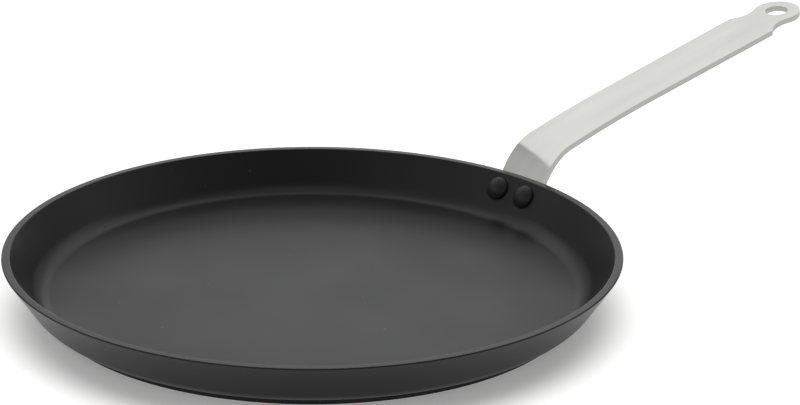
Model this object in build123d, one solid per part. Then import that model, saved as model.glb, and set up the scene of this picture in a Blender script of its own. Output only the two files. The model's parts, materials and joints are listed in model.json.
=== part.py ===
from build123d import *
import os
from math import asin, cos, degrees, radians, sin, sqrt, tan

# A crepe pan: a pressed dish with a machined rim, a flat plate bonded under it, a strip handle bent
# from flat stock, and two rivets that hold the handle's flange on the wall. Lengths are millimetres
# and angles are degrees. The origin is the centre of the plate's underside, on which the pan
# stands, +Z is up and the handle points along +X.

# Pan body
rim_diameter = 300
pan_height = 26.5
wall_slope = 56
rim_width = 4
rim_land = 0.6
rim_inner_break = 0.3
floor_thickness = 3.7
base_corner_radius = 12
floor_corner_radius = 11

# Base plate, bonded to the flat underside of the dish
plate_thickness = 3.3
plate_edge_break = 0.3

# Handle strip, from the flange on the wall to the eye at the tip
strip_thickness = 3
flange_width = 28
flange_below_rivets = 10
flange_corner_radius = 7
flange_fade = 5
neck_rise = 2.9
bend_radius = 33.6
crown_angle = 12.5
crown_radius = 887
grip_angle = 8.7
hole_reach = 355.5
shoulder_width = 29.8
shoulder_to_hole = 22.4
shoulder_corner_radius = 2
waist_radius = 18
eye_radius = 12.7
eye_hole_radius = 6.1

# Rivets, side by side on one level
rivet_to_flange_side = 5
rivet_below_rim = 8.6
shank_radius = 2.9
inner_head_radius = 6
inner_head_edge = 0.9
inner_head_crown = 3.1
outer_head_radius = 5
outer_head_edge = 0.6
outer_head_crown = 1.7

# Clearances
flange_seat_clearance = 0.3
rivet_hole_clearance = 0.1
head_seat_clearance = 0.1
overrun = 10

# The wall's directions, in the plane of the handle: up along it, and out through it
rim_radius = rim_diameter / 2
rise = radians(wall_slope)
up_wall = Vector(cos(rise), 0, sin(rise))
out_of_wall = Vector(sin(rise), 0, -cos(rise))
rim_lower_edge = Vector(rim_radius, 0, pan_height - rim_land)
rim_inner_edge = Vector(rim_radius - rim_width, 0, pan_height)
wall_thickness = (rim_lower_edge - rim_inner_edge).dot(out_of_wall)
rivet_pitch = flange_width - 2 * rivet_to_flange_side
floor_level = plate_thickness + floor_thickness


def wall_foot(top, level):
    """Point where a wall face that passes through top would meet a level."""
    drop = top.Z - level
    return (top.X - drop / tan(rise), level)


def rivet_seats():
    """Places of the two rivets: on the inner face of the wall, with local +Z into the pan."""
    centre = rim_inner_edge - up_wall * rivet_below_rim
    turn = degrees(asin(rivet_pitch / 2 / centre.X))
    seat = Plane(centre, x_dir=(0, 1, 0), z_dir=-out_of_wall).location
    return {"left": Rot(0, 0, turn) * seat, "right": Rot(0, 0, -turn) * seat}


def rivet_holes():
    """Bores through the wall and the flange, wider than the shanks by the clearance."""
    bore = Cylinder(shank_radius + rivet_hole_clearance, 2 * (wall_thickness + strip_thickness) + overrun)
    return [seat * bore for seat in rivet_seats().values()]


def make_pan_body():
    """The dish is turned from one section: flat floor, round corners, sloping wall, upright rim edge."""
    base_foot = wall_foot(rim_lower_edge, plate_thickness)
    floor_foot = wall_foot(rim_inner_edge, floor_level)
    section = Plane.XZ * make_face(
        Polyline(
            (0, plate_thickness),
            base_foot,
            (rim_lower_edge.X, rim_lower_edge.Z),
            (rim_radius, pan_height),
            (rim_inner_edge.X, rim_inner_edge.Z),
            floor_foot,
            (0, floor_level),
            close=True,
        )
    )
    for (x, z), radius in [(base_foot, base_corner_radius), (floor_foot, floor_corner_radius)]:
        section = fillet(section.vertices().sort_by_distance((x, 0, z))[0], radius)
    section = chamfer(section.vertices().sort_by_distance(rim_inner_edge)[0], rim_inner_break)
    return revolve(section, Axis.Z) - rivet_holes()


def make_base_plate():
    """Round plate that covers the flat of the dish's underside, with its lower edge broken."""
    base_foot = wall_foot(rim_lower_edge, plate_thickness)
    flat_radius = base_foot[0] - base_corner_radius * tan(rise / 2)
    plate = extrude(Circle(flat_radius), plate_thickness)
    return chamfer(plate.edges().sort_by(Axis.Z)[0], plate_edge_break)


def strip_section(place, direction, width):
    """Cross-section of the strip at a place, with its upper face through that place."""
    plane = Plane(place, x_dir=(0, 1, 0), z_dir=direction)
    return plane * Pos(0, -strip_thickness / 2) * Rectangle(width, strip_thickness)


def grip_outline(taper_start):
    """Flat outline of the strip about the hole: straight taper, shoulders, round waist and eye."""
    shoulder = Vector(-shoulder_to_hole, shoulder_width / 2)
    # The waist's circle passes through the shoulder and touches the eye's circle.
    span = shoulder.length
    eye_side = waist_radius + eye_radius
    along = (eye_side**2 + span**2 - waist_radius**2) / (2 * span)
    across = sqrt(eye_side**2 - along**2)
    heading = shoulder.normalized()
    waist = heading * along + Vector(heading.Y, -heading.X) * across
    touch = waist.normalized() * eye_radius
    # The outline runs back past the strip's own start, which ends it.
    half = [
        (-hole_reach, 0),
        (-hole_reach, flange_width / 2),
        (taper_start, flange_width / 2),
        (shoulder.X, shoulder.Y),
        (touch.X, touch.Y),
        (0, 0),
    ]
    blade = make_face(Polyline(*half, close=True)) - Pos(waist.X, waist.Y) * Circle(waist_radius)
    blade = fillet(blade.vertices().sort_by_distance((shoulder.X, shoulder.Y, 0))[0], shoulder_corner_radius)
    return blade + mirror(blade, Plane.XZ) + Circle(eye_radius)


def make_flange():
    """Conical tab on the wall, cut from the strip with round lower corners, and its fading neck."""
    inner_face = rim_lower_edge + out_of_wall * flange_seat_clearance
    rivet_level = (rim_inner_edge - rim_lower_edge).dot(up_wall) - rivet_below_rim
    bottom = inner_face + up_wall * (rivet_level - flange_below_rivets)
    top = inner_face + up_wall * (neck_rise - flange_fade)
    low = bottom - up_wall * overrun
    high = top + up_wall * overrun
    through = out_of_wall * strip_thickness
    ring_section = Plane.XZ * make_face(
        Polyline(*[(p.X, p.Z) for p in (low, high, high + through, low + through)], close=True)
    )
    # Half a turn puts the ring's seam on the far side, away from the flange.
    ring = Rot(0, 0, 180) * revolve(ring_section, Axis.Z)
    length = (top - bottom).length
    tab = Pos(0, length / 2) * Rectangle(flange_width, length)
    tab = fillet(tab.vertices().group_by(Axis.Y)[-1], flange_corner_radius)
    tab_plane = Plane(top, x_dir=(0, 1, 0), z_dir=-out_of_wall)
    flange = ring & extrude(tab_plane * tab, overrun, both=True)
    flange_end = flange.faces().sort_by(Axis((0, 0, 0), up_wall))[-1]
    neck_end = strip_section(inner_face + up_wall * neck_rise, up_wall, flange_width).face()
    return flange + loft([flange_end, neck_end], ruled=True)


def make_handle():
    """Strip swept along its bend, crown and straight grip, trimmed to its outline, on its flange."""
    bend_start = rim_lower_edge + out_of_wall * flange_seat_clearance + up_wall * neck_rise
    bend = JernArc((bend_start.X, bend_start.Z), (up_wall.X, up_wall.Z), bend_radius, crown_angle - wall_slope)
    crown = JernArc(bend @ 1, bend % 1, crown_radius, grip_angle - crown_angle)
    grip_way = crown % 1
    to_hole = (hole_reach - (crown @ 1).X) / grip_way.X
    tip = crown @ 1 + grip_way * (to_hole + eye_radius + overrun)
    path = Plane.XZ * Wire([bend, crown, Line(crown @ 1, tip)])
    strip = sweep(strip_section(bend_start, up_wall, shoulder_width + overrun), path=path)
    hole = crown @ 1 + grip_way * to_hole
    hole_plane = Plane((hole.X, 0, hole.Y), x_dir=(grip_way.X, 0, grip_way.Y), z_dir=(-grip_way.Y, 0, grip_way.X))
    blade = strip & extrude(hole_plane * grip_outline(-to_hole), hole_reach, both=True)
    eye_hole = hole_plane * Cylinder(eye_hole_radius, strip_thickness + overrun)
    return make_flange() + blade - rivet_holes() - eye_hole


def button(radius, edge, crown):
    """Rivet head standing on its flat seat: a short upright edge under a spherical crown."""
    ball_radius = (radius**2 + crown**2) / (2 * crown)
    ball = Pos(0, 0, edge + crown - ball_radius) * Rot(90, 0, 0) * Sphere(ball_radius)
    return ball & extrude(Circle(radius), edge + crown)


def make_rivet():
    """Solid rivet about local Z: crowned head inside the pan, driven head on the flange."""
    # The inner head's rim stands on the hollow wall, so its middle clears it by the arc's height.
    seat_radius = (rim_inner_edge - up_wall * rivet_below_rim).X
    hollow = inner_head_radius**2 * sin(rise) / (2 * seat_radius)
    inner_seat = hollow + head_seat_clearance
    outer_seat = wall_thickness + flange_seat_clearance + strip_thickness + head_seat_clearance
    shank = Pos(0, 0, -outer_seat) * extrude(Circle(shank_radius), inner_seat + outer_seat)
    inner_head = Pos(0, 0, inner_seat) * button(inner_head_radius, inner_head_edge, inner_head_crown)
    outer_head = button(outer_head_radius, outer_head_edge, outer_head_crown)
    return inner_head + shank + Pos(0, 0, -outer_seat) * Rot(180, 0, 0) * outer_head


parts = {"pan_body": make_pan_body(), "base_plate": make_base_plate(), "handle": make_handle()}
rivet = make_rivet()
for side, seat in rivet_seats().items():
    parts[f"rivet_{side}"] = seat * rivet

os.makedirs("parts", exist_ok=True)
for name, shape in parts.items():
    export_step(shape, f"parts/{name}.step")
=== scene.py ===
import json
from itertools import pairwise
from math import atan2, ceil, cos, pi, radians, sin, sqrt, tan

import bmesh
import bpy
from mathutils import Matrix, Vector


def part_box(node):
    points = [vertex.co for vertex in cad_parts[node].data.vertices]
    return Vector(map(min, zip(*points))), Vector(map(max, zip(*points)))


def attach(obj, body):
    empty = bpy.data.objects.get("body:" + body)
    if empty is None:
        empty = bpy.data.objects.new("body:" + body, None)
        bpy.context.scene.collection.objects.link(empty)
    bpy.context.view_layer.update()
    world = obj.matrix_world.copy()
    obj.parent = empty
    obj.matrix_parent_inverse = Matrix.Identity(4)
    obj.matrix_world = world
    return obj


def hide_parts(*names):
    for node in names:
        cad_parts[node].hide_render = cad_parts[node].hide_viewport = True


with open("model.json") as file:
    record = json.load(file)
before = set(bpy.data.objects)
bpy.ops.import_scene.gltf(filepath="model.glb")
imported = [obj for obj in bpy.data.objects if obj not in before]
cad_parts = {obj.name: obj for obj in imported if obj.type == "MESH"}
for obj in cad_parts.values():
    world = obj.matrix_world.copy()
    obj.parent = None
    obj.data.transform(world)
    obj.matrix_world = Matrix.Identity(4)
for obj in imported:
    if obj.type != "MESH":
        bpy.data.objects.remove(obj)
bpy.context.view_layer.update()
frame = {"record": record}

# The pan body is one thick disc of aluminium, pressed to a shallow dish. Its rim is turned flat on
# a lathe, two holes are bored for the rivets, and the dish is sprayed inside and out with a dark
# non-stick coat, which is baked on.
mm = 0.001
pan_low, pan_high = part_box("pan_body")
rim_radius = pan_high[1]
pan_height = pan_high[2]
underside = pan_low[2]
wall_slope = radians(56)
rim_width = 4 * mm
rim_land = 0.6 * mm
rim_inner_round = 0.35 * mm
rim_outer_chamfer = 0.5 * mm
floor_thickness = 3.7 * mm
floor_level = underside + floor_thickness
base_corner_radius = 12 * mm
floor_corner_radius = 11 * mm
pan_facets = 288
corner_facets = 18
crease = radians(25)

# A place counts as on an edge when it is this near, and a face as level when its normal is this
# upright.
near = 0.05 * mm
level_normal = 0.9

up_wall = Vector((cos(wall_slope), 0, sin(wall_slope)))
out_of_wall = Vector((sin(wall_slope), 0, -cos(wall_slope)))
rim_lower_edge = Vector((rim_radius, 0, pan_height - rim_land))
rim_inner_edge = Vector((rim_radius - rim_width, 0, pan_height))
wall_thickness = (rim_lower_edge - rim_inner_edge).dot(out_of_wall)


def take_up(piece):
    """Select one piece by itself and make it the active one."""
    bpy.ops.object.select_all(action="DESELECT")
    piece.select_set(True)
    bpy.context.view_layer.objects.active = piece


def edit(piece):
    """Go to edit mode on one piece, with nothing selected."""
    take_up(piece)
    bpy.ops.object.mode_set(mode="EDIT")
    bpy.ops.mesh.select_mode(type="VERT")
    bpy.ops.mesh.select_all(action="DESELECT")


def pick(piece, kind, test):
    """Select the vertices, edges or faces whose middle passes a test."""
    bpy.ops.mesh.select_all(action="DESELECT")
    bpy.ops.mesh.select_mode(type=kind)
    mesh = bmesh.from_edit_mesh(piece.data)
    parts = {"VERT": mesh.verts, "EDGE": mesh.edges, "FACE": mesh.faces}[kind]
    for part in parts:
        corners = [part] if kind == "VERT" else part.verts
        part.select_set(test(sum((corner.co for corner in corners), Vector()) / len(corners)))
    bmesh.update_edit_mesh(piece.data)


def primitive(add, name, **settings):
    """Add a primitive by itself and give it the piece's name."""
    bpy.ops.object.select_all(action="DESELECT")
    add(**settings)
    piece = bpy.context.object
    piece.name = name
    return piece


def apply_modifier(piece, kind, **settings):
    """Add a modifier with its settings and apply it."""
    bpy.context.view_layer.objects.active = piece
    bpy.ops.object.modifier_add(type=kind)
    modifier = piece.modifiers[-1]
    for setting, value in settings.items():
        setattr(modifier, setting, value)
    bpy.ops.object.modifier_apply(modifier=modifier.name)


def smooth(piece, sharpest):
    """Smooth shading, broken at edges sharper than an angle, with flats kept flat."""
    take_up(piece)
    bpy.ops.object.shade_smooth_by_angle(angle=sharpest)
    apply_modifier(piece, "WEIGHTED_NORMAL", keep_sharp=True)


def corner_ring(foot, level, radius, inside_out):
    """Section points of a round corner between a flat at a level and the wall above its foot."""
    centre = foot - radius * tan(wall_slope / 2)
    turns = [wall_slope * step / corner_facets for step in range(corner_facets + 1)]
    points = [(centre + radius * sin(turn), level + radius * (1 - cos(turn))) for turn in turns]
    return points[::-1] if inside_out else points


floor_foot = rim_inner_edge.x - (pan_height - floor_level) / tan(wall_slope)
base_foot = rim_lower_edge.x - (rim_lower_edge.z - underside) / tan(wall_slope)
section = corner_ring(floor_foot, floor_level, floor_corner_radius, False)
section += [
    (rim_inner_edge.x, pan_height),
    (rim_radius, pan_height),
    (rim_radius, rim_lower_edge.z),
]
section += corner_ring(base_foot, underside, base_corner_radius, True)

pan = primitive(
    bpy.ops.mesh.primitive_circle_add,
    "pan_dish",
    vertices=pan_facets,
    radius=section[0][0],
    fill_type="NGON",
    location=(0, 0, floor_level),
)
bpy.ops.object.transform_apply(location=True)
edit(pan)
pick(pan, "EDGE", lambda place: True)
for (radius, height), (next_radius, next_height) in pairwise(section):
    bpy.ops.mesh.extrude_edges_move()
    grow = next_radius / radius
    bpy.ops.transform.resize(value=(grow, grow, 1), center_override=(0, 0, 0))
    bpy.ops.transform.translate(value=(0, 0, next_height - height))
bpy.ops.mesh.edge_face_add()


def on_ring(radius, height):
    """Test for a place that lies on a ring about the pan's axis."""
    return lambda place: abs(place.xy.length - radius) < near and abs(place.z - height) < near


pick(pan, "EDGE", on_ring(rim_inner_edge.x, pan_height))
bpy.ops.mesh.bevel(offset=rim_inner_round, segments=3)
pick(pan, "EDGE", on_ring(rim_radius, pan_height))
bpy.ops.mesh.bevel(offset=rim_outer_chamfer, segments=1)
bpy.ops.mesh.select_all(action="SELECT")
bpy.ops.mesh.normals_make_consistent(inside=False)
bpy.ops.object.mode_set(mode="OBJECT")

# The rivets go through two bores, side by side below the rim, square to the wall.
rivet_below_rim = 8.6 * mm
rivet_pitch = 18 * mm
shank_radius = 2.9 * mm
bore_clearance = 0.1 * mm
bore_facets = 48
flange_gap = 0.3 * mm
strip_thickness = 3 * mm
rivet_centre = rim_inner_edge - up_wall * rivet_below_rim
rivet_turn = atan2(rivet_pitch / 2, rivet_centre.x)
stack = wall_thickness + flange_gap + strip_thickness


def bore_rivet_holes(piece):
    """Cut both rivet bores through a piece."""
    for side in (-1, 1):
        drill = primitive(
            bpy.ops.mesh.primitive_cylinder_add,
            "drill",
            vertices=bore_facets,
            radius=shank_radius + bore_clearance,
            depth=3 * stack,
            location=rivet_centre,
            rotation=(0, pi - wall_slope, 0),
        )
        bpy.ops.object.transform_apply(location=True, rotation=True)
        drill.rotation_euler = (0, 0, side * rivet_turn)
        bpy.ops.object.transform_apply(rotation=True)
        apply_modifier(piece, "BOOLEAN", operation="DIFFERENCE", solver="EXACT", object=drill)
        bpy.data.objects.remove(drill)


bore_rivet_holes(pan)
smooth(pan, crease)


def linear(colour):
    """Linear colour of an sRGB hex value."""
    shares = [int(colour[start:start + 2], 16) / 255 for start in (1, 3, 5)]
    return [
        share / 12.92 if share < 0.04045 else ((share + 0.055) / 1.055) ** 2.4 for share in shares
    ] + [1]


def add_node(tree, kind, settings=None, links=None):
    """Add a node with its settings, and link its inputs to other nodes' outputs."""
    node = tree.nodes.new(kind)
    for name, value in (settings or {}).items():
        if name in node.inputs:
            node.inputs[name].default_value = value
        else:
            setattr(node, name, value)
    for name, output in (links or {}).items():
        tree.links.new(output, node.inputs[name])
    return node


def new_material(name):
    """A material with a plain Principled shader, and its node tree."""
    material = bpy.data.materials.new(name)
    material.use_nodes = True
    return material, material.node_tree, material.node_tree.nodes["Principled BSDF"]


# Baked non-stick coat: a dark, satin fluoropolymer film over blasted aluminium. The film flows
# out to a faint orange peel with finer grit under it, its gloss varies in soft clouds, and a few
# pale specks of dust lie on it.
orange_peel = 1.4 * mm
sprayed_depth = 0.01 * mm
blast_grit = 0.35 * mm
grit_depth = 0.006 * mm
gloss_cloud = 45 * mm
speck_spacing = 18 * mm
speck_radius = 0.5 * mm


def bake_coat(name, colour, glossiest, dullest, peel_depth):
    """One bake of the coat: its colour, its range of roughness and how deep its peel is."""
    material, tree, shader = new_material(name)
    shader.inputs["IOR"].default_value = 1.38
    place = add_node(tree, "ShaderNodeTexCoord").outputs["Object"]
    peel, grit, cloud = (
        add_node(
            tree, "ShaderNodeTexNoise", {"Scale": 1 / size, "Detail": detail}, {"Vector": place}
        ).outputs["Fac"]
        for size, detail in ((orange_peel, 2.0), (blast_grit, 1.0), (gloss_cloud, 3.0))
    )
    specks = add_node(tree, "ShaderNodeTexVoronoi", {"Scale": 1 / speck_spacing}, {"Vector": place})
    dusty = add_node(
        tree,
        "ShaderNodeMapRange",
        {"From Min": speck_radius / speck_spacing, "From Max": 0.0, "To Min": 0.0, "To Max": 0.5},
        {"Value": specks.outputs["Distance"]},
    )
    tint = add_node(
        tree,
        "ShaderNodeMix",
        {"data_type": "RGBA", "A": linear(colour), "B": linear("#b0b0ae")},
        {"Factor": dusty.outputs["Result"]},
    )
    tree.links.new(tint.outputs["Result"], shader.inputs["Base Color"])
    gloss = add_node(
        tree,
        "ShaderNodeMapRange",
        {"From Min": 0.3, "From Max": 0.7, "To Min": glossiest, "To Max": dullest},
        {"Value": cloud},
    )
    peel_bump = add_node(
        tree, "ShaderNodeBump", {"Strength": 0.25, "Distance": peel_depth}, {"Height": peel}
    )
    grit_bump = add_node(
        tree,
        "ShaderNodeBump",
        {"Strength": 0.35, "Distance": grit_depth},
        {"Height": grit, "Normal": peel_bump.outputs["Normal"]},
    )
    tree.links.new(gloss.outputs["Result"], shader.inputs["Roughness"])
    tree.links.new(grit_bump.outputs["Normal"], shader.inputs["Normal"])
    return material


coat = bake_coat("baked_nonstick_coat", "#1c1c1e", 0.31, 0.37, sprayed_depth)
pan.data.materials.append(coat)

# The same coat on the turned rim: the film lies flatter on the machined face, so the rim is a
# little glossier than the rest. Its colour is also a shade lighter: that is a painted highlight on
# the rim's upper face.
pan.data.materials.append(bake_coat("turned_rim_coat_painted_highlight", "#242426", 0.2, 0.25, sprayed_depth))
for face in pan.data.polygons:
    on_rim = face.normal.z > level_normal and face.center.z > pan_height - near
    face.material_index = 1 if on_rim else 0
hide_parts("pan_body")
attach(pan, "root")

# The base plate is a round of aluminium bonded under the dish, to spread the heat and keep the
# pan flat. Its side is coated with the dish, and its underside is faced on a lathe and left bare.
_, plate_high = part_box("base_plate")
plate_radius = plate_high[1]
plate_thickness = plate_high[2]
plate_edge_break = 0.3 * mm

plate = primitive(
    bpy.ops.mesh.primitive_circle_add,
    "bonded_base_plate",
    vertices=pan_facets,
    radius=plate_radius,
    fill_type="NGON",
)
edit(plate)
bpy.ops.mesh.select_all(action="SELECT")
bpy.ops.mesh.extrude_region_move(TRANSFORM_OT_translate={"value": (0, 0, plate_thickness)})
pick(plate, "EDGE", on_ring(plate_radius, 0))
bpy.ops.mesh.bevel(offset=plate_edge_break, segments=3)
bpy.ops.mesh.select_all(action="SELECT")
bpy.ops.mesh.normals_make_consistent(inside=False)
bpy.ops.object.mode_set(mode="OBJECT")
smooth(plate, crease)

# Faced aluminium: bare bright grey metal with fine rings from the lathe's tool. The rings are
# really about 0.2 mm apart, and are drawn 2.5 mm apart so that they show. At a scale of 1 the
# wave's rings would be pi / 10 apart.
faced, tree, shader = new_material("faced_bare_aluminium")
ring_spacing = 2.5 * mm
ring_depth = 0.05 * mm
shader.inputs["Base Color"].default_value = linear("#c9cacb")
shader.inputs["Metallic"].default_value = 1
coordinates = add_node(tree, "ShaderNodeTexCoord").outputs["Object"]
rings = add_node(
    tree,
    "ShaderNodeTexWave",
    {
        "wave_type": "RINGS",
        "rings_direction": "Z",
        "Scale": pi / 10 / ring_spacing,
        "Distortion": 0.6,
        "Detail": 2.0,
        "Detail Scale": 8.0,
    },
    {"Vector": coordinates},
)
gloss = add_node(
    tree,
    "ShaderNodeMapRange",
    {"From Min": 0.0, "From Max": 1.0, "To Min": 0.24, "To Max": 0.34},
    {"Value": rings.outputs["Fac"]},
)
ring_bump = add_node(
    tree,
    "ShaderNodeBump",
    {"Strength": 0.5, "Distance": ring_depth},
    {"Height": rings.outputs["Fac"]},
)
tree.links.new(gloss.outputs["Result"], shader.inputs["Roughness"])
tree.links.new(ring_bump.outputs["Normal"], shader.inputs["Normal"])
plate.data.materials.append(coat)
plate.data.materials.append(faced)
for face in plate.data.polygons:
    face.material_index = 1 if face.normal.z < -level_normal else 0
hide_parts("base_plate")
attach(plate, "root")

# The handle is one strip of stainless steel: blanked with its eye and waist, satin finished, bent
# up from the wall and out along the grip, and dished at its foot to lie against the round wall.
hole_mount = next(mount for mount in frame["record"]["mounts"] if mount["name"] == "hang_hole")
hole_axis = Vector(hole_mount["axis"])
hole_top = Vector(hole_mount["pos_m"]) + hole_axis * strip_thickness / 2
hole_radius = hole_mount["dims"]["r_mm"] * mm
grip_angle = atan2(-hole_axis.x, hole_axis.z)
crown_angle = radians(12.5)
crown_radius = 887 * mm
bend_radius = 33.6 * mm
neck_rise = 2.9 * mm
eye_radius = 12.7 * mm
waist_radius = 18 * mm
strip_width = 28 * mm
shoulder_width = 29.8 * mm
shoulder_to_hole = 22.4 * mm
shoulder_round = 2 * mm
flange_below_rivets = 10 * mm
flange_corner_radius = 7 * mm
strip_edge_round = 0.45 * mm
tumbled_turn = radians(50)
strip_crease = radians(30)

# How finely the strip is divided: across, round its outline and hole, and along its length.
strip_cells = 14
outline_step = 0.8 * mm
shoulder_step = 0.4 * mm
hole_facets = 72
crown_rows = 6
bend_rows = 32
straight_rows = 10
corner_rows = 8

# Points nearer to each other than this are welded to one.
weld = 0.01 * mm


def along(angle):
    """Direction of the strip's upper face, in the handle's middle plane, at an upward slope."""
    return Vector((cos(angle), 0, sin(angle)))


def square_to(angle):
    """Direction up and square to the strip's upper face at that slope."""
    return Vector((-sin(angle), 0, cos(angle)))


# The centre line of the upper face: neck up the wall, bend, long crown, straight grip.
bend_start = rim_lower_edge + out_of_wall * flange_gap + up_wall * neck_rise
bend_centre = bend_start - square_to(wall_slope) * bend_radius
crown_start = bend_centre + square_to(crown_angle) * bend_radius
crown_centre = crown_start - square_to(crown_angle) * crown_radius
crown_end = crown_centre + square_to(grip_angle) * crown_radius
grip_length = (hole_top - crown_end).length

# The blank's outline about the hole. The waist's circle passes through the shoulder and touches
# the eye, and a small circle rounds the shoulder.
shoulder = Vector((-shoulder_to_hole, shoulder_width / 2, 0))
span = shoulder.length
reach = waist_radius + eye_radius
forward = (reach**2 + span**2 - waist_radius**2) / (2 * span)
heading = shoulder.normalized()
aside = Vector((heading.y, -heading.x, 0))
waist = heading * forward + aside * sqrt(reach**2 - forward**2)
touch = waist.normalized() * eye_radius
grip_root = Vector((-grip_length, strip_width / 2, 0))
edge_way = (grip_root - shoulder).normalized()
edge_in = Vector((-edge_way.y, edge_way.x, 0))
offset = shoulder - waist + edge_in * shoulder_round
run = sqrt(offset.dot(edge_way) ** 2 - offset.length_squared + (waist_radius + shoulder_round) ** 2)
round_centre = waist + offset + edge_way * (run - offset.dot(edge_way))
round_start = waist + (round_centre - waist).normalized() * waist_radius
round_end = round_centre - edge_in * shoulder_round


def arc_to(start, end, centre, step):
    """Spin the selected vertex about a centre, from one point to another, in short steps."""
    first, last = start - centre, end - centre
    turn = atan2(first.x * last.y - first.y * last.x, first.dot(last))
    steps = ceil(abs(turn) * first.length / step)
    bpy.ops.mesh.spin(steps=steps, angle=-turn, center=centre, axis=(0, 0, 1))


def lone_vertex(name, place):
    """Begin a piece in edit mode as one selected vertex, a small plane merged to its middle."""
    piece = primitive(bpy.ops.mesh.primitive_plane_add, name, size=mm)
    edit(piece)
    bpy.ops.mesh.select_all(action="SELECT")
    bpy.ops.mesh.merge(type="CENTER")
    bpy.ops.transform.translate(value=place)
    return piece


eye_end = Vector((eye_radius, 0, 0))
handle = lone_vertex("strip_handle", eye_end)
arc_to(eye_end, touch, Vector(), outline_step)
arc_to(touch, round_start, waist, outline_step)
arc_to(round_start, round_end, round_centre, shoulder_step)
bpy.ops.mesh.extrude_vertices_move(TRANSFORM_OT_translate={"value": grip_root - round_end})
bpy.ops.mesh.select_all(action="SELECT")
bpy.ops.mesh.symmetrize(direction="POSITIVE_Y")
pick(handle, "VERT", lambda place: place.x < near - grip_length)
bpy.ops.mesh.edge_face_add()
bpy.ops.mesh.subdivide(number_cuts=strip_cells - 1)
bpy.ops.mesh.primitive_circle_add(vertices=hole_facets, radius=hole_radius)
bpy.ops.mesh.select_all(action="SELECT")
bpy.ops.mesh.remove_doubles(threshold=weld)
bpy.ops.mesh.fill()
bpy.ops.object.mode_set(mode="OBJECT")
handle.rotation_euler = (0, -grip_angle, 0)
handle.location = hole_top
bpy.ops.object.transform_apply(location=True, rotation=True)

# The strip is drawn back from the grip: along the crown, round the bend and down the wall.
edit(handle)
pick(handle, "EDGE", lambda place: (place - crown_end).dot(along(grip_angle)) < near)
for rows, turn, centre in (
    (crown_rows, crown_angle - grip_angle, crown_centre),
    (bend_rows, wall_slope - crown_angle, bend_centre),
):
    bpy.ops.mesh.spin(steps=rows, angle=turn, center=centre, axis=(0, 1, 0))
rivet_drop = (rim_lower_edge - rivet_centre).dot(up_wall)
flange_length = neck_rise + rivet_drop + flange_below_rivets
row = (flange_length - flange_corner_radius) / straight_rows
for _ in range(straight_rows):
    bpy.ops.mesh.extrude_edges_move(TRANSFORM_OT_translate={"value": -up_wall * row})
half_width = strip_width / 2
for step in range(corner_rows):
    turns = [pi / 2 * (step + ahead) / corner_rows for ahead in (0, 1)]
    drop = flange_corner_radius * (sin(turns[1]) - sin(turns[0]))
    widths = [half_width - flange_corner_radius * (1 - cos(turn)) for turn in turns]
    bpy.ops.mesh.extrude_edges_move(TRANSFORM_OT_translate={"value": -up_wall * drop})
    bpy.ops.transform.resize(value=(1, widths[1] / widths[0], 1), center_override=(0, 0, 0))
bpy.ops.mesh.select_all(action="SELECT")
bpy.ops.mesh.remove_doubles(threshold=weld)
bpy.ops.mesh.normals_make_consistent(inside=False)
bpy.ops.object.mode_set(mode="OBJECT")

# Satin stainless steel: bright, faintly warm grey metal with fine polishing lines along the strip,
# so the noise is stretched that way. The real lines are finer, and are drawn about 0.15 mm apart so
# that they show up close. The polishing belt also leaves long, faint pale and dark streaks, some
# 10 mm wide.
satin, tree, shader = new_material("satin_stainless_steel")
line_spacing = 0.15 * mm
line_length = 40 * mm
line_depth = 0.004 * mm
streak_width = 9 * mm
streak_length = 60 * mm
shader.inputs["Metallic"].default_value = 1
coordinates = add_node(tree, "ShaderNodeTexCoord").outputs["Object"]
drawn_out = add_node(
    tree,
    "ShaderNodeMapping",
    {"Scale": (1 / streak_length, 1 / streak_width, 1 / streak_length)},
    {"Vector": coordinates},
).outputs["Vector"]
streaks = add_node(
    tree, "ShaderNodeTexNoise", {"Scale": 1.0, "Detail": 1.0}, {"Vector": drawn_out}
)
tone = add_node(
    tree,
    "ShaderNodeMix",
    {"data_type": "RGBA", "A": linear("#c9c9c6"), "B": linear("#d9d9d6")},
    {"Factor": streaks.outputs["Fac"]},
)
tree.links.new(tone.outputs["Result"], shader.inputs["Base Color"])
stretched = add_node(
    tree,
    "ShaderNodeMapping",
    {"Scale": (1 / line_length, 1 / line_spacing, 1 / line_length)},
    {"Vector": coordinates},
).outputs["Vector"]
lines = add_node(
    tree, "ShaderNodeTexNoise", {"Scale": 1.0, "Detail": 2.0}, {"Vector": stretched}
)
gloss = add_node(
    tree,
    "ShaderNodeMapRange",
    {"From Min": 0.3, "From Max": 0.7, "To Min": 0.07, "To Max": 0.12},
    {"Value": lines.outputs["Fac"]},
)
line_bump = add_node(
    tree,
    "ShaderNodeBump",
    {"Strength": 0.1, "Distance": line_depth},
    {"Height": lines.outputs["Fac"]},
)
tree.links.new(gloss.outputs["Result"], shader.inputs["Roughness"])
tree.links.new(line_bump.outputs["Normal"], shader.inputs["Normal"])

# Blanked edge of the same steel: sheared, then tumbled, so it is duller than the faces and has a
# fine even grain.
blanked, tree, shader = new_material("blanked_steel_edge")
tumble_grain = 0.4 * mm
tumble_depth = 0.01 * mm
shader.inputs["Base Color"].default_value = linear("#a8a8a6")
shader.inputs["Metallic"].default_value = 1
coordinates = add_node(tree, "ShaderNodeTexCoord").outputs["Object"]
grain = add_node(
    tree, "ShaderNodeTexNoise", {"Scale": 1 / tumble_grain, "Detail": 3.0}, {"Vector": coordinates}
)
gloss = add_node(
    tree,
    "ShaderNodeMapRange",
    {"From Min": 0.3, "From Max": 0.7, "To Min": 0.32, "To Max": 0.42},
    {"Value": grain.outputs["Fac"]},
)
grain_bump = add_node(
    tree,
    "ShaderNodeBump",
    {"Strength": 0.2, "Distance": tumble_depth},
    {"Height": grain.outputs["Fac"]},
)
tree.links.new(gloss.outputs["Result"], shader.inputs["Roughness"])
tree.links.new(grain_bump.outputs["Normal"], shader.inputs["Normal"])
handle.data.materials.append(satin)
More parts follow.
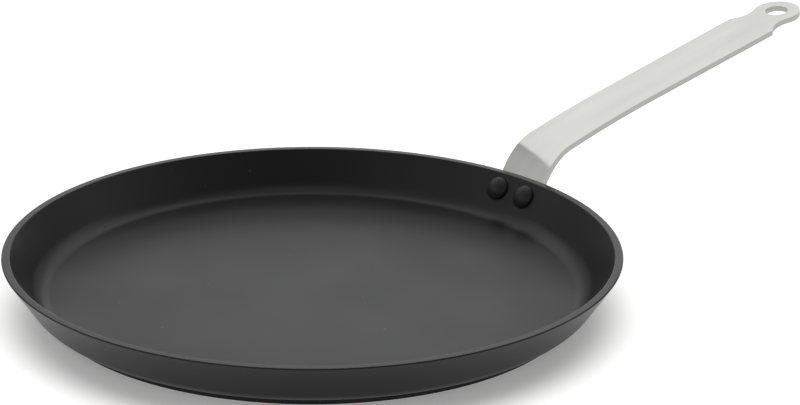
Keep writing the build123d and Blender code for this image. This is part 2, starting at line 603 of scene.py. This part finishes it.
handle.data.materials.append(blanked)

# The foot is pressed to the round wall. Part of that dish runs on round the bend, and it fades out
# before the grip. The strip then gets its thickness, with the blanked finish on its sides.
dish_depth = strip_width**2 / 8 / rim_radius * sin(wall_slope)
bend_share = 0.7
bend_fade = radians(12.5)
foot_fade = 5 * mm
dished = handle.vertex_groups.new(name="dished")
for vertex in handle.data.vertices:
    place = vertex.co
    turned = atan2(bend_centre.x - place.x, place.z - bend_centre.z)
    share = bend_share * min(max((turned - crown_angle) / bend_fade, 0), 1)
    share += (1 - bend_share) * min(max((bend_start - place).dot(up_wall) / foot_fade, 0), 1)
    if place.x < crown_start.x:
        dished.add([vertex.index], share * (place.y / half_width) ** 2, "REPLACE")
upward = 1 if handle.data.polygons[0].normal.z > 0 else -1
apply_modifier(handle, "DISPLACE", vertex_group="dished", strength=upward * dish_depth, mid_level=0)
apply_modifier(
    handle,
    "SOLIDIFY",
    thickness=strip_thickness,
    offset=-upward,
    use_even_offset=True,
    material_offset_rim=1,
)
bore_rivet_holes(handle)
apply_modifier(
    handle,
    "BEVEL",
    width=strip_edge_round,
    segments=3,
    limit_method="ANGLE",
    angle_limit=tumbled_turn,
)
smooth(handle, strip_crease)
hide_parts("handle")
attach(handle, "root")

# Two solid aluminium rivets join the wall and the flange. The domed heads inside the pan carry
# the pan's own coat, and the tails are driven over, bare, on the flange outside.
head_radius = 6 * mm
head_edge = 0.9 * mm
head_edge_round = 0.3 * mm
head_crown = 3.1 * mm
tail_radius = 5 * mm
tail_edge = 0.6 * mm
tail_crown = 1.7 * mm
seat_clearance = 0.1 * mm
head_seat = head_radius**2 * sin(wall_slope) / (2 * rivet_centre.x) + seat_clearance
tail_seat = -stack - seat_clearance
head_rows = 12
tail_rows = 8
rivet_facets = 64

# The coat on a head is sprayed on with the rivet in place: it lies thicker and duller there, with a
# deeper peel. Its colour is a shade lighter than the wall's: this is painted light, which brightens
# the head as a whole.
thick_coat_depth = 0.03 * mm
head_coat_painted_lighter = bake_coat("rivet_head_coat_painted_lighter", "#2c2c2f", 0.34, 0.42, thick_coat_depth)

# Bare aluminium that was driven over by a press: bright grey metal with soft shallow dents.
bare, tree, shader = new_material("driven_bare_aluminium")
dent_size = 1.2 * mm
dent_depth = 0.03 * mm
shader.inputs["Base Color"].default_value = linear("#c4c5c7")
shader.inputs["Metallic"].default_value = 1
coordinates = add_node(tree, "ShaderNodeTexCoord").outputs["Object"]
dents = add_node(
    tree, "ShaderNodeTexNoise", {"Scale": 1 / dent_size, "Detail": 2.0}, {"Vector": coordinates}
)
gloss = add_node(
    tree,
    "ShaderNodeMapRange",
    {"From Min": 0.3, "From Max": 0.7, "To Min": 0.28, "To Max": 0.4},
    {"Value": dents.outputs["Fac"]},
)
dent_bump = add_node(
    tree,
    "ShaderNodeBump",
    {"Strength": 0.4, "Distance": dent_depth},
    {"Height": dents.outputs["Fac"]},
)
tree.links.new(gloss.outputs["Result"], shader.inputs["Roughness"])
tree.links.new(dent_bump.outputs["Normal"], shader.inputs["Normal"])


def spin_crown(pole, side, radius, crown, rows):
    """Spin the selected vertex over a crown, between its edge and its pole, which is up or down."""
    ball = (radius**2 + crown**2) / (2 * crown)
    turn = atan2(radius, ball - crown)
    bpy.ops.mesh.spin(steps=rows, angle=-turn, center=(0, 0, pole - side * ball), axis=(0, 1, 0))


# One rivet is turned about its own axis, from the head's pole down to the tail's.
head_pole = head_seat + head_edge + head_crown
tail_pole = tail_seat - tail_edge - tail_crown
rivet = lone_vertex("rivet_left_coated", (0, 0, head_pole))
spin_crown(head_pole, 1, head_radius, head_crown, head_rows)
for move in (
    (0, 0, -head_edge),
    (shank_radius - head_radius, 0, 0),
    (0, 0, tail_seat - head_seat),
    (tail_radius - shank_radius, 0, 0),
    (0, 0, -tail_edge),
):
    bpy.ops.mesh.extrude_vertices_move(TRANSFORM_OT_translate={"value": move})
spin_crown(tail_pole, -1, tail_radius, tail_crown, tail_rows)
bpy.ops.mesh.select_all(action="SELECT")
bpy.ops.mesh.spin(steps=rivet_facets, angle=2 * pi, center=(0, 0, 0), axis=(0, 0, 1))
bpy.ops.mesh.select_all(action="SELECT")
bpy.ops.mesh.remove_doubles(threshold=weld)
bpy.ops.mesh.normals_make_consistent(inside=False)
pick(
    rivet,
    "EDGE",
    lambda place: place.z > head_seat and abs(place.xy.length - head_radius) < near,
)
bpy.ops.mesh.bevel(offset=head_edge_round, segments=3)
bpy.ops.object.mode_set(mode="OBJECT")
rivet.data.materials.append(head_coat_painted_lighter)
rivet.data.materials.append(bare)
for face in rivet.data.polygons:
    face.material_index = 0 if face.center.z > 0 else 1
smooth(rivet, crease)

# The second rivet is a copy. Both are tilted square to the wall, and each is turned to its side.
second_rivet = rivet.copy()
second_rivet.data = rivet.data.copy()
second_rivet.name = "rivet_right_coated"
bpy.context.collection.objects.link(second_rivet)
for piece, node, side in ((rivet, "rivet_left", 1), (second_rivet, "rivet_right", -1)):
    take_up(piece)
    piece.rotation_euler = (0, -wall_slope, 0)
    piece.location = rivet_centre
    bpy.ops.object.transform_apply(location=True, rotation=True)
    piece.rotation_euler = (0, 0, side * rivet_turn)
    bpy.ops.object.transform_apply(rotation=True)
    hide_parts(node)
    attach(piece, "root")

# The stand is a plain pale floor with painted light: it glows a little, as a light table does. The
# glow fades out under the pan and so paints a soft shadow on the near side, about a middle a little
# in front of the pan's axis.
table, tree, shader = new_material("pale_floor_painted_glow_and_shadow")
shader.inputs["Base Color"].default_value = linear("#f2f2f0")
shader.inputs["Roughness"].default_value = 0.9
shader.inputs["Emission Color"].default_value = linear("#ffffff")
shadow_middle = Vector((-8.5, -8.5, 0)) * mm
table_width = 14
below_pan = 0.1 * mm
coordinates = add_node(tree, "ShaderNodeTexCoord").outputs["Object"]
from_shadow = add_node(tree, "ShaderNodeVectorMath", {"operation": "DISTANCE"}, {0: coordinates})
from_shadow.inputs[1].default_value = shadow_middle
# Painted shadow: the floor's glow is dimmed from 0.7 to 0.22 within a ring about the shadow's
# middle.
painted_glow_and_shadow = add_node(
    tree,
    "ShaderNodeMapRange",
    {
        "interpolation_type": "SMOOTHSTEP",
        "From Min": 130 * mm,
        "From Max": 160 * mm,
        "To Min": 0.22,
        "To Max": 0.7,
    },
    {"Value": from_shadow.outputs["Value"]},
)
tree.links.new(painted_glow_and_shadow.outputs["Result"], shader.inputs["Emission Strength"])
stand = primitive(
    bpy.ops.mesh.primitive_grid_add,
    "floor",
    x_subdivisions=8,
    y_subdivisions=8,
    size=table_width,
    location=(0, 0, -below_pan),
)
bpy.ops.object.transform_apply(location=True)
stand.data.materials.append(table)

# The camera looks down at the pan from beside it, with the handle running away to the right.
camera_azimuth = radians(-44.03)
camera_elevation = radians(20.9)
camera_distance = 1.6
aim = Vector((75.95 * mm, 15.67 * mm, pan_height))
beside = Vector((sin(camera_azimuth), -cos(camera_azimuth), 0))
above = Vector((0, 0, 1))
camera = bpy.data.objects.new("camera", bpy.data.cameras.new("camera"))
bpy.context.collection.objects.link(camera)
rim_centre = Vector((0, 0, pan_height))
from_pan = beside * cos(camera_elevation) + above * sin(camera_elevation)
camera.location = rim_centre + from_pan * camera_distance
camera.data.lens = 148.7
camera.data.sensor_width = 36
camera.data.clip_start = 0.05
camera.data.clip_end = 60
camera_roll = radians(0.53)
look = (aim - camera.location).to_track_quat("-Z", "Y").to_matrix().to_4x4()
camera.rotation_euler = (look @ Matrix.Rotation(camera_roll, 4, "Z")).to_euler()
bpy.context.scene.camera = camera

# Soft studio light: a white wall behind the pan, brightest straight behind and high up, and a
# dimmer room on the near side. The room has a soft lamp high on the left, pale walls low down on
# the near side and on the right, and a pale ceiling.
world = bpy.data.worlds.new("studio")
world.use_nodes = True
bpy.context.scene.world = world
tree = world.node_tree
direction = add_node(tree, "ShaderNodeTexCoord").outputs["Generated"]

# How far a direction faces each side of the room.
facing = {}
for side, way in (
    ("far_side", (0.677, 0.643, -0.358)),
    ("back_wall", (0.61, 0.662, -0.435)),
    ("right_side", (0.701, -0.713, 0)),
    ("left_lamp", (-0.735, 0.390, 0.55)),
    ("upwards", (0, 0, 1)),
):
    dot = add_node(tree, "ShaderNodeVectorMath", {"operation": "DOT_PRODUCT"}, {0: direction})
    dot.inputs[1].default_value = way
    facing[side] = dot.outputs["Value"]
off_middle = add_node(tree, "ShaderNodeMath", {"operation": "ABSOLUTE"}, {0: facing["right_side"]})
facing["off_middle"] = off_middle.outputs["Value"]

# Each glow fades softly from one strength to another across a range of one facing.
glow = {}
for name, side, start, end, first, last in (
    ("behind", "back_wall", -0.01, 0.01, 0, 1),
    ("middle_width", "off_middle", 0.06, 0.24, 1.2, 0),
    ("middle_height", "upwards", 0.24, 0.45, 1, 0),
    ("low_width", "off_middle", 0.3, 0.6, 0.5, 0),
    ("low_height", "upwards", 0.1, 0.28, 1, 0),
    ("high", "upwards", 0.37, 0.5, 0, 0.78),
    ("wall", "upwards", 0, 0.3, 0.26, 0.27),
    ("room", "far_side", -1, 0, 0.15, 0.34),
    ("lamp", "left_lamp", 0.5, 1, 0, 0.26),
    ("fill_height", "upwards", 0.3, 0.55, 0.4, 0),
    ("fill_depth", "far_side", -0.5, -0.1, 1, 0),
    ("right_height", "upwards", 0.5, 0.75, 0.25, 0),
    ("right_width", "right_side", 0.45, 0.75, 0, 1),
    ("ceiling", "upwards", 0.93, 0.985, 0, 0.4),
):
    fade = add_node(
        tree,
        "ShaderNodeMapRange",
        {
            "interpolation_type": "SMOOTHSTEP",
            "From Min": start,
            "From Max": end,
            "To Min": first,
            "To Max": last,
        },
        {"Value": facing[side]},
    )
    glow[name] = fade.outputs["Result"]

# The glows are put together, first on the far side and then on the near side.
for name, operation, first, second in (
    ("middle", "MULTIPLY", "middle_width", "middle_height"),
    ("low", "MULTIPLY", "low_width", "low_height"),
    ("bright", "MAXIMUM", "middle", "low"),
    ("brightest", "MAXIMUM", "bright", "high"),
    ("far_light", "ADD", "wall", "brightest"),
    ("fill", "MULTIPLY", "fill_height", "fill_depth"),
    ("lit_room", "ADD", "room", "lamp"),
    ("right_fill", "MULTIPLY", "right_height", "right_width"),
    ("fills", "MAXIMUM", "fill", "right_fill"),
    ("filled_room", "ADD", "lit_room", "fills"),
    ("near_light", "ADD", "filled_room", "ceiling"),
):
    joined = add_node(
        tree, "ShaderNodeMath", {"operation": operation}, {0: glow[first], 1: glow[second]}
    )
    glow[name] = joined.outputs["Value"]
light = add_node(
    tree,
    "ShaderNodeMix",
    {"data_type": "FLOAT"},
    {"Factor": glow["behind"], "A": glow["near_light"], "B": glow["far_light"]},
)
background = tree.nodes["Background"]
background.inputs["Color"].default_value = linear("#ffffff")
tree.links.new(light.outputs["Result"], background.inputs["Strength"])
bpy.context.scene.view_settings.view_transform = "Standard"
